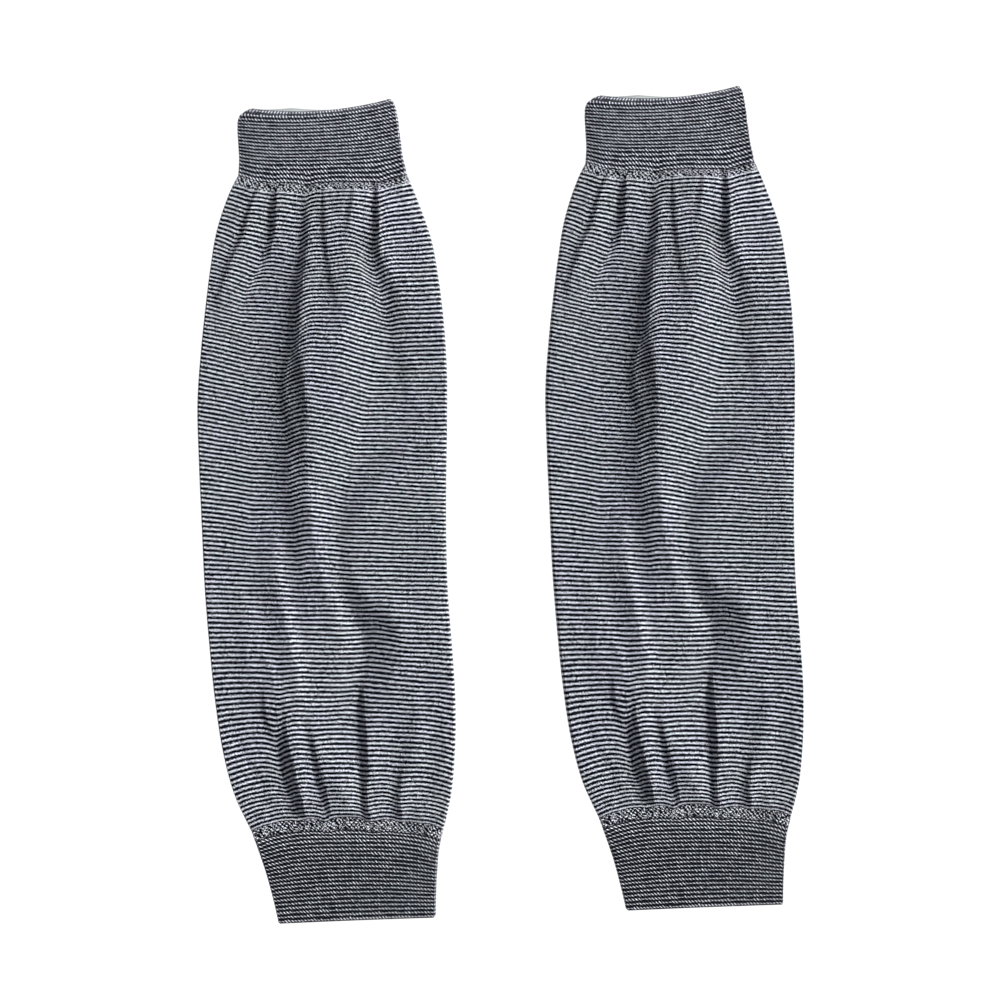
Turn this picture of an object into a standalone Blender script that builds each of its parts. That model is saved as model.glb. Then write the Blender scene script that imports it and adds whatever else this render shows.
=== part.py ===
"""Pair of knitted arm sleeves, laid flat side by side.

Each sleeve is three open tubes of knitted cloth: a wide striped body, gathered
at both ends into a narrow elastic cuff. A tube lies on its back panel, which
is flat at z = 0, with its front panel folded over it at two rolled edges.

+X points right, +Y points to the upper cuffs and +Z points up from the surface.
Sizes are in millimetres until a mesh is made, which is in metres.
"""

import math
from collections import namedtuple

import bmesh
import bpy
import numpy as np

MM = 0.001

# The pair: from the left sleeve's centre to the right one's.
PAIR_APART = 159.6
PAIR_STAGGER = 6.0

# The cloth.
BODY_WALL = 1.2
CUFF_WALL = 1.6
EDGE_RADIUS = 3.0
SEAM_GAP = 0.3

# How finely a tube is divided: points across the front and back panels, and
# the angles, up from the edge's outermost line, of the points on a rolled edge.
BODY_POINTS = (39, 15)
CUFF_POINTS = (25, 13)
EDGE_ANGLES = (0.0, 35.0, 65.0)

# Folds fade out over this much of the cloth beside a join and a rolled edge.
JOIN_FADE = 7.0
EDGE_FADE = 12.0
CREASE_ROUND = 0.9

# A station is one knitted row: the row's distance along the tube, its ends on
# the left and right edges, how far its middle bows towards the upper cuff on
# the front and on the back, and the height of the front panel's middle.
Station = namedtuple("Station", "row left_x left_y right_x right_y bow back_bow height")

UPPER_CUFF = (
    Station(0.0, -36.8, 184.7, 29.9, 189.4, -3.6, -1.7, 8.8),
    Station(3.0, -40.2, 181.4, 31.8, 185.8, -3.4, -1.9, 8.8),
    Station(8.0, -41.1, 176.6, 32.7, 180.3, -3.1, -2.2, 8.8),
    Station(17.0, -40.8, 168.2, 33.9, 171.0, -3.0, -2.6, 8.8),
    Station(26.0, -40.4, 160.2, 35.2, 162.0, -3.3, -2.8, 8.8),
    Station(33.0, -40.8, 153.2, 37.1, 153.6, -3.8, -3.0, 8.9),
)
BODY = (
    Station(0.0, -40.8, 153.2, 37.1, 153.6, -3.8, -3.0, 8.9),
    Station(6.0, -43.5, 147.9, 39.3, 148.5, -4.1, -3.0, 11.6),
    Station(14.0, -46.5, 140.4, 42.6, 140.2, -3.9, -2.8, 12.2),
    Station(28.0, -50.5, 127.1, 47.8, 125.4, -3.0, -2.2, 12.2),
    Station(46.0, -53.3, 110.4, 51.3, 107.1, -2.1, -1.5, 11.6),
    Station(66.0, -55.6, 92.4, 53.9, 86.0, -1.4, -1.0, 10.8),
    Station(88.0, -57.7, 72.2, 55.3, 63.3, -1.1, -0.6, 10.6),
    Station(110.0, -59.2, 50.3, 55.4, 41.8, -0.8, -0.3, 10.6),
    Station(138.0, -58.6, 22.5, 55.0, 13.7, -0.4, 0.0, 10.6),
    Station(166.0, -57.3, -6.6, 55.0, -11.9, -0.2, 0.0, 10.6),
    Station(194.0, -55.9, -36.1, 55.8, -39.4, 0.0, 0.3, 10.6),
    Station(218.0, -53.8, -61.8, 57.8, -65.1, 0.8, 0.8, 10.8),
    Station(240.0, -51.2, -86.9, 59.2, -88.8, 2.2, 1.6, 11.2),
    Station(262.0, -47.1, -112.7, 58.9, -112.5, 3.9, 2.6, 12.0),
    Station(280.0, -41.8, -131.9, 57.2, -131.0, 4.9, 3.2, 12.0),
    Station(291.0, -37.4, -141.8, 55.2, -140.8, 5.0, 3.4, 11.6),
    Station(298.0, -34.6, -147.6, 53.7, -146.7, 4.8, 3.4, 8.9),
)
LOWER_CUFF = (
    Station(0.0, -34.6, -147.6, 53.7, -146.7, 4.8, 3.4, 8.9),
    Station(8.0, -31.8, -155.4, 51.9, -154.8, 3.8, 2.8, 8.8),
    Station(20.0, -27.8, -167.2, 50.8, -166.4, 2.4, 1.9, 8.8),
    Station(31.0, -24.7, -178.6, 50.3, -176.8, 1.2, 1.0, 8.8),
    Station(41.0, -22.1, -189.2, 50.1, -186.4, 0.2, 0.2, 8.8),
)

# The rows that carry a ring of points: close together where the tube narrows.
UPPER_CUFF_ROWS = (0, 1.2, 4, 12, 22, 33)
BODY_ROWS = (
    *(0, 4, 9, 16, 25, 36, 49, 64, 80, 97, 114, 131),
    *(148, 165, 182, 199, 216, 232, 247, 260, 271, 281, 290, 298),
)
LOWER_CUFF_ROWS = (0, 6, 18, 30, 41)

# A fold runs along the sleeve. Its path gives x, y and the height there,
# negative in a crease, and its flanks are how far it spreads to each side.
Fold = namedtuple("Fold", "left_flank right_flank path")
FRONT_FOLDS = {
    "main_crease": Fold(
        11.0,
        4.0,
        (
            (-8.0, 152, -2.8),
            (-12.0, 126, -3.0),
            (-13.3, 103, -3.2),
            (-15.4, 75, -2.8),
            (-19.6, 62, -2.2),
            (-20.6, 48, -2.0),
            (-17.9, 34, -2.0),
            (-15.6, 8, -1.8),
            (-12.6, -20, -1.2),
            (-9.0, -42, 0.0),
        ),
    ),
    "centre_ridge": Fold(
        16.0,
        20.0,
        (
            (4.0, 138, 0.0),
            (5.0, 118, 1.0),
            (4.0, 92, 1.6),
            (-2.0, 66, 1.9),
            (-8.0, 40, 1.9),
            (-8.0, 14, 1.6),
            (-5.0, -14, 1.0),
            (-2.0, -40, 0.0),
        ),
    ),
    "centre_crease": Fold(
        4.0,
        5.0,
        (
            (-1.4, 150, -2.3),
            (-0.5, 129, -2.5),
            (1.8, 111, -2.0),
            (5.1, 96, -1.2),
            (6.6, 84, 0.0),
        ),
    ),
    "left_crease": Fold(
        7.0,
        4.0,
        (
            (-24.4, 151, -2.2),
            (-25.4, 138, -2.6),
            (-26.4, 124, -2.0),
            (-30.4, 108, 0.0),
        ),
    ),
    "left_dimple": Fold(
        4.0,
        4.0,
        (
            (-32.7, 150, -1.6),
            (-36.4, 134, -1.6),
            (-41.0, 122, -0.6),
            (-46.0, 112, 0.0),
        ),
    ),
    "right_crease": Fold(
        7.0,
        5.0,
        (
            (23.8, 151, -2.4),
            (23.6, 130, -2.6),
            (22.2, 117, -2.4),
            (26.2, 106, -2.2),
            (29.4, 88, -1.4),
            (32.7, 72, -1.0),
            (37.3, 54, 0.0),
        ),
    ),
    "right_ridge": Fold(
        6.0,
        8.0,
        (
            (10.0, 132, 0.0),
            (14.0, 122, 1.0),
            (19.0, 99, 1.2),
            (22.0, 84, 0.0),
        ),
    ),
    "low_left_crease": Fold(
        8.0,
        4.5,
        (
            (-33.0, -24, 0.0),
            (-27.0, -50, -0.8),
            (-21.0, -66, -1.0),
            (-19.8, -88, -1.2),
            (-19.8, -104, -2.6),
            (-16.6, -122, -2.7),
            (-13.0, -134, -2.7),
            (-9.0, -146, -2.2),
        ),
    ),
    "low_centre_crease": Fold(
        4.0,
        4.0,
        (
            (-6.4, -98, 0.0),
            (-5.0, -110, -1.8),
            (-3.4, -124, -2.4),
            (-0.5, -142, -2.2),
        ),
    ),
    "low_main_crease": Fold(
        6.0,
        6.0,
        (
            (16.0, -74, 0.0),
            (17.0, -92, -1.4),
            (17.0, -110, -2.8),
            (17.2, -124, -2.9),
            (19.0, -138, -2.8),
            (21.4, -148, -2.4),
        ),
    ),
    "low_right_crease": Fold(
        4.0,
        4.0,
        (
            (31.0, -112, 0.0),
            (32.0, -124, -1.8),
            (33.4, -138, -2.2),
            (34.4, -146, -1.8),
        ),
    ),
    "low_edge_crease": Fold(
        4.0,
        4.0,
        (
            (-33.0, -116, 0.0),
            (-30.4, -128, -1.2),
            (-25.8, -140, -1.4),
        ),
    ),
    "low_left_ridge": Fold(
        7.0,
        6.0,
        (
            (-24.0, -14, 0.0),
            (-18.0, -46, 0.8),
            (-11.0, -76, 1.0),
            (-14.0, -96, 1.2),
            (-11.0, -114, 1.0),
            (-7.0, -130, 0.0),
        ),
    ),
}
BACK_FOLDS = {
    "back_left_gather": Fold(5.0, 5.0, ((-31, 153, 0.6), (-33, 130, 0.5), (-36, 100, 0.0))),
    "back_centre_gather": Fold(4.0, 5.0, ((-15, 153, 0.6), (-18, 128, 0.5), (-20, 94, 0.0))),
    "back_middle_gather": Fold(5.0, 4.0, ((9, 153, 0.6), (11, 132, 0.5), (14, 104, 0.0))),
    "back_right_gather": Fold(5.0, 5.0, ((29, 153, 0.6), (32, 128, 0.5), (36, 98, 0.0))),
    "back_low_left_gather": Fold(5.0, 4.0, ((-28, -88, 0.0), (-23, -122, 0.5), (-18, -147, 0.6))),
    "back_low_centre_gather": Fold(5.0, 5.0, ((5, -92, 0.0), (7, -124, 0.5), (9, -147, 0.6))),
    "back_low_right_gather": Fold(6.0, 4.0, ((45, -84, 0.0), (43, -120, 0.5), (39, -147, 0.6))),
}

# Material: base colour, roughness.
FINISH = {
    "upper_cuff": ((0.115, 0.128, 0.163, 1.0), 0.95),
    "body": ((0.130, 0.141, 0.169, 1.0), 0.90),
    "lower_cuff": ((0.069, 0.074, 0.098, 1.0), 0.95),
}


def smooth(at, knots, values):
    """A smooth curve through values at the rising knots, read at each of at."""
    knots = np.asarray(knots, float)
    values = np.asarray(values, float)
    slopes = np.gradient(values, knots)
    at = np.clip(at, knots[0], knots[-1])
    span = np.clip(np.searchsorted(knots, at, side="right") - 1, 0, len(knots) - 2)
    width = knots[span + 1] - knots[span]
    t = (at - knots[span]) / width
    ends = (1 + 2 * t) * (1 - t) ** 2 * values[span] + t * t * (3 - 2 * t) * values[span + 1]
    bends = t * (1 - t) ** 2 * slopes[span] - t * t * (1 - t) * slopes[span + 1]
    return ends + bends * width


def fade(distance, over):
    """0 at no distance, rising smoothly to 1 at the distance over."""
    t = np.clip(distance / over, 0.0, 1.0)
    return t * t * (3 - 2 * t)


def fold_height(folds, x, y):
    """The height of all the folds, added up, at the points x, y."""
    height = np.zeros_like(x)
    for fold in folds.values():
        path = np.array(sorted(fold.path, key=lambda point: point[1]))
        middle = smooth(y, path[:, 1], path[:, 0])
        crest = smooth(y, path[:, 1], path[:, 2])
        aside = x - middle
        flank = np.where(aside < 0, fold.left_flank, fold.right_flank)
        spread = (np.hypot(aside, CREASE_ROUND) - CREASE_ROUND) / flank
        height += crest * np.exp(-(spread**1.3))
    return height


def station_at(stations, row):
    """The station at any row of a tube, read smoothly between the listed ones."""
    rows = [station.row for station in stations]
    columns = np.array(stations).T
    return Station(*(float(smooth(row, rows, column)) for column in columns))


def across(width, points):
    """Distances in from the left edge, from one rolled edge to the other."""
    edge = [EDGE_RADIUS * (1 - math.cos(math.radians(angle))) for angle in EDGE_ANGLES]
    flat = np.linspace(EDGE_RADIUS, width - EDGE_RADIUS, points)
    return np.concatenate([edge, flat, [width - inward for inward in reversed(edge)]])


def edge_rise(inward):
    """How far a rolled edge has turned away from its middle height."""
    from_axis = np.clip(EDGE_RADIUS - inward, 0.0, EDGE_RADIUS)
    return np.sqrt(EDGE_RADIUS**2 - from_axis**2)


def outer_ring(station, points, folded, join_distance):
    """One row of a tube's outer face: over the front, then back underneath."""
    width = station.right_x - station.left_x
    rings = []
    for front, count in ((True, points[0]), (False, points[1])):
        aside = across(width, count)
        share = aside / width
        x = station.left_x + aside
        bow = station.bow if front else station.back_bow
        y = station.left_y + (station.right_y - station.left_y) * share
        y += bow * np.sin(math.pi * share) ** 2
        inward = np.minimum(aside, width - aside)
        rise = edge_rise(inward)
        flat_width = width - 2 * EDGE_RADIUS
        off_centre = np.clip((2 * aside - width) / flat_width, -1.0, 1.0)
        crown = (station.height - 2 * EDGE_RADIUS) * (1 - off_centre**4) ** 1.5
        z = EDGE_RADIUS + rise + crown if front else EDGE_RADIUS - rise
        if folded:
            kept = fade(inward - EDGE_RADIUS, EDGE_FADE) * fade(join_distance, JOIN_FADE)
            z = z + fold_height(FRONT_FOLDS if front else BACK_FOLDS, x, y) * kept
        rings.append(np.stack([x, y, z], axis=1))
    # The two outermost lines of the edges are shared by the front and the back.
    return np.concatenate([rings[0], rings[1][-2:0:-1]])


def inner_ring(outer, wall):
    """The same row of the inner face, one wall's thickness further in."""
    along = np.roll(outer, -1, axis=0) - np.roll(outer, 1, axis=0)
    along /= np.hypot(along[:, 0], along[:, 2])[:, None]
    inward = np.stack([along[:, 2], np.zeros(len(outer)), -along[:, 0]], axis=1)
    return outer + inward * wall


def tube_rings(stations, rows, points, wall, trims, folded=False):
    """The outer and inner rings of a tube, its ends trimmed back along the sleeve."""
    last = rows[-1]
    outer = []
    for row in rows:
        station = station_at(stations, row)
        ring = outer_ring(station, points, folded, min(row - rows[0], last - row))
        if row == rows[0]:
            ring[:, 1] -= trims[0]
        if row == last:
            ring[:, 1] += trims[1]
        outer.append(ring)
    return outer, [inner_ring(ring, wall) for ring in outer]


def tube_mesh(name, outer, inner, shift):
    """One closed body: outer face, inner face and the two open ends' rims."""
    mesh = bmesh.new()
    grids = [
        [[mesh.verts.new((point + shift) * MM) for point in ring] for ring in rings]
        for rings in (outer, inner)
    ]
    count = len(outer[0])
    for grid in grids:
        for upper, lower in zip(grid, grid[1:]):
            for i in range(count):
                k = (i + 1) % count
                mesh.faces.new((upper[i], upper[k], lower[k], lower[i]))
    for end in (0, -1):
        outside, inside = grids[0][end], grids[1][end]
        for i in range(count):
            k = (i + 1) % count
            mesh.faces.new((outside[i], outside[k], inside[k], inside[i]))
    bmesh.ops.recalc_face_normals(mesh, faces=mesh.faces)
    data = bpy.data.meshes.new(name)
    mesh.to_mesh(data)
    mesh.free()
    data.shade_smooth()
    data.set_sharp_from_angle(angle=math.radians(50))
    return data


def cloth_material(piece):
    colour, roughness = FINISH[piece]
    material = bpy.data.materials.new(piece)
    material.use_nodes = True
    shader = material.node_tree.nodes["Principled BSDF"]
    shader.inputs["Base Color"].default_value = colour
    shader.inputs["Roughness"].default_value = roughness
    shader.inputs["Metallic"].default_value = 0.0
    return material


def sleeve_tubes():
    """The three tubes of a sleeve, each as its outer and inner rings."""
    seam = SEAM_GAP / 2
    return {
        "upper_cuff": tube_rings(
            UPPER_CUFF, UPPER_CUFF_ROWS, CUFF_POINTS, CUFF_WALL, (0.0, seam)
        ),
        "body": tube_rings(BODY, BODY_ROWS, BODY_POINTS, BODY_WALL, (seam, seam), folded=True),
        "lower_cuff": tube_rings(
            LOWER_CUFF, LOWER_CUFF_ROWS, CUFF_POINTS, CUFF_WALL, (seam, 0.0)
        ),
    }


def footprint_centre(tubes):
    points = np.concatenate([ring for outer, _ in tubes.values() for ring in outer])
    low, high = points.min(axis=0), points.max(axis=0)
    return np.array([(low[0] + high[0]) / 2, (low[1] + high[1]) / 2, 0.0])


def main():
    for thing in list(bpy.data.objects):
        bpy.data.objects.remove(thing)
    tubes = sleeve_tubes()
    centre = footprint_centre(tubes)
    materials = {piece: cloth_material(piece) for piece in tubes}
    for side, sign in (("left", -1), ("right", 1)):
        place = np.array([sign * PAIR_APART / 2, sign * PAIR_STAGGER / 2, 0.0])
        for piece, (outer, inner) in tubes.items():
            name = f"{side}_{piece}"
            data = tube_mesh(name, outer, inner, -centre)
            data.materials.append(materials[piece])
            thing = bpy.data.objects.new(name, data)
            thing.location = place * MM
            bpy.context.scene.collection.objects.link(thing)


main()
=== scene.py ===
"""Looks of a pair of knitted arm sleeves, laid flat side by side.

Every sleeve is three knitted tubes: an elastic upper cuff, a striped body and
an elastic lower cuff. Each tube is a closed shell on its solid's form, with its
rows of points along the knitted rows, its folds from the tables below, and the
relief of its stitches. Sizes are in millimetres until a mesh is made.
"""

import math
from collections import namedtuple

import bpy
import numpy as np
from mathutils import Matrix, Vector


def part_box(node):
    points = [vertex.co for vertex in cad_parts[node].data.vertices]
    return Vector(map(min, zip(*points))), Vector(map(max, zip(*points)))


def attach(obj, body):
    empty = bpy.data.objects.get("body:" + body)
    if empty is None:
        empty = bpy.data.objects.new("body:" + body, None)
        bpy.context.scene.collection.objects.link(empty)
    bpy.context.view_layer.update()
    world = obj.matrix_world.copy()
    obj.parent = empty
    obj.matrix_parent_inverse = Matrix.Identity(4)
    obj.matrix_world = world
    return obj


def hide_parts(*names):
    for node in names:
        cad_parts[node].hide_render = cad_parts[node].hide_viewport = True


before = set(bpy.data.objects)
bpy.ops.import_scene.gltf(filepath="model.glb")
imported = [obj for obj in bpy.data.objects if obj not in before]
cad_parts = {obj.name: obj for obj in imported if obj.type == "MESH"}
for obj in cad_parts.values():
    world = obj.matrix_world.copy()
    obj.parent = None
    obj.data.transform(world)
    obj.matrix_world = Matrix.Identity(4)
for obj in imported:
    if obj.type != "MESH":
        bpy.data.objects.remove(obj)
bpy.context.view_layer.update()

MM = 0.001

# The cloth. Where a tube turns from back to front, it curves in by EDGE_RADIUS on
# the back and by EDGE_ROLL on the front. SEAM_GAP parts the tubes at a join.
BODY_WALL = 1.2
CUFF_WALL = 1.6
EDGE_RADIUS = 3.0
EDGE_ROLL = 0.9
SEAM_GAP = 0.05

# The front's sides are CROWN lower than its middle on the cuffs and at the joins,
# and EDGE_LIFT higher than its middle on the rest of the body.
CROWN = 0.3
EDGE_LIFT = 1.9

# A row's bow is flat in its middle on the body and at a cuff's join, and evenly
# curved at a hem.
JOIN_BEND = 4.0
HEM_BEND = 2.0

# How far from a join or an edge a form takes to fade in or out.
JOIN_FADE = 2.5
EDGE_FADE = 4.0
DRAW_FADE = 9.0
BEND_FADE = 30.0
LIFT_FADE = 32.0

# A fold's section: how round its crest is, and how steeply its flanks fall off.
CREASE_ROUND = 0.5
FOLD_POWER = 1.3

# A gentle unevenness, of RIPPLE_WAVES waves. The shortest and the longest that one
# can be are RIPPLE_LENGTHS times the wavelength.
Ripple = namedtuple("Ripple", "seed wavelength height")
SURFACE_RIPPLE = Ripple(3, 17.0, 0.12)
ROW_RIPPLE = Ripple(5, 21.0, 0.35)
RIPPLE_WAVES = 7
RIPPLE_LENGTHS = (0.7, 1.5)

# The knit. Stitches are counted all round a tube, stripes along the body, where
# STRIPE_SPREAD makes them wider towards the lower cuff.
BODY_STITCHES = 192
BODY_STRIPES = 144
STRIPE_SPREAD = 0.04
CUFF_STITCHES = 108
UPPER_CUFF_ROWS = 19
LOWER_CUFF_ROWS = 24

# The knit's relief. A cuff's stitch slants over SLANT_SHARE of its width. From the
# middle of its yarn, the top is flat for YARN_TOP of a row, then falls away over
# YARN_FALL of one.
STRIPE_RELIEF = 0.14
STITCH_RELIEF = 0.26
SLANT_SHARE = 0.7
UPPER_SLOPE = 0.22
LOWER_SLOPE = 0.20
YARN_TOP = 0.12
YARN_FALL = 0.26

# An open hem is rounded over HEM_ROUND of the cuff's length, and HEM_DROP deep.
HEM_ROUND = 0.6
HEM_DROP = 0.24

# A station is one knitted row: the row's distance along the tube, its ends on
# the left and right edges, how far its middle bows towards the upper cuff on
# the front and on the back, and the height of the front panel's middle.
Station = namedtuple("Station", "row left_x left_y right_x right_y bow back_bow height")

UPPER_CUFF = (
    Station(0.0, -34.8, 184.0, 29.9, 188.4, -3.4, -3.2, 8.8),
    Station(1.2, -37.6, 182.8, 30.8, 187.2, -3.3, -3.1, 8.8),
    Station(2.6, -39.8, 181.2, 31.5, 185.7, -3.2, -2.9, 8.8),
    Station(4.4, -40.8, 179.3, 32.0, 183.9, -3.2, -2.7, 8.8),
    Station(8.0, -41.1, 176.2, 32.7, 180.3, -3.1, -2.5, 8.8),
    Station(17.0, -40.8, 168.2, 33.9, 171.0, -3.0, -2.6, 8.8),
    Station(26.0, -40.4, 160.2, 35.2, 162.0, -2.9, -2.8, 8.8),
    Station(33.0, -40.8, 153.2, 37.1, 153.6, -2.8, -2.8, 8.9),
)
BODY = (
    Station(0.0, -40.8, 153.2, 37.1, 153.6, -2.8, -2.8, 8.9),
    Station(6.0, -43.5, 147.9, 39.3, 148.5, -2.8, -2.8, 9.6),
    Station(14.0, -46.5, 140.4, 42.6, 140.2, -2.7, -2.6, 9.8),
    Station(28.0, -50.5, 127.1, 47.8, 125.4, -2.4, -2.2, 9.8),
    Station(46.0, -53.3, 110.4, 51.3, 107.1, -1.9, -1.5, 9.6),
    Station(66.0, -55.6, 92.4, 53.9, 86.0, -1.9, -1.0, 9.2),
    Station(88.0, -57.7, 72.2, 55.3, 63.3, -1.9, -0.6, 9.0),
    Station(110.0, -59.2, 50.3, 55.4, 41.8, -1.4, -0.3, 9.0),
    Station(138.0, -58.6, 22.5, 55.0, 13.7, -0.6, 0.0, 9.0),
    Station(166.0, -57.3, -6.6, 55.0, -11.9, -0.3, 0.0, 9.0),
    Station(194.0, -55.9, -36.1, 55.8, -39.4, 0.0, 0.3, 9.0),
    Station(218.0, -53.8, -61.8, 57.8, -65.1, 0.7, 0.8, 9.2),
    Station(240.0, -51.2, -86.9, 59.2, -88.8, 2.2, 1.6, 9.6),
    Station(262.0, -47.1, -112.7, 58.9, -112.5, 5.0, 2.6, 9.8),
    Station(280.0, -41.8, -131.9, 57.2, -131.0, 6.0, 3.2, 9.8),
    Station(291.0, -37.4, -141.8, 55.2, -140.8, 6.4, 3.6, 9.6),
    Station(298.0, -34.6, -147.6, 53.7, -146.7, 6.2, 3.8, 8.9),
)
LOWER_CUFF = (
    Station(0.0, -34.6, -147.6, 53.7, -146.7, 6.2, 3.8, 8.9),
    Station(8.0, -31.8, -155.4, 51.9, -154.8, 5.2, 3.2, 8.8),
    Station(20.0, -27.8, -167.2, 50.8, -166.4, 3.3, 2.2, 8.8),
    Station(31.0, -24.7, -178.6, 50.3, -176.8, 1.6, 1.2, 8.8),
    Station(41.0, -22.1, -189.6, 50.1, -186.8, 0.2, 0.2, 8.8),
)

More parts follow.
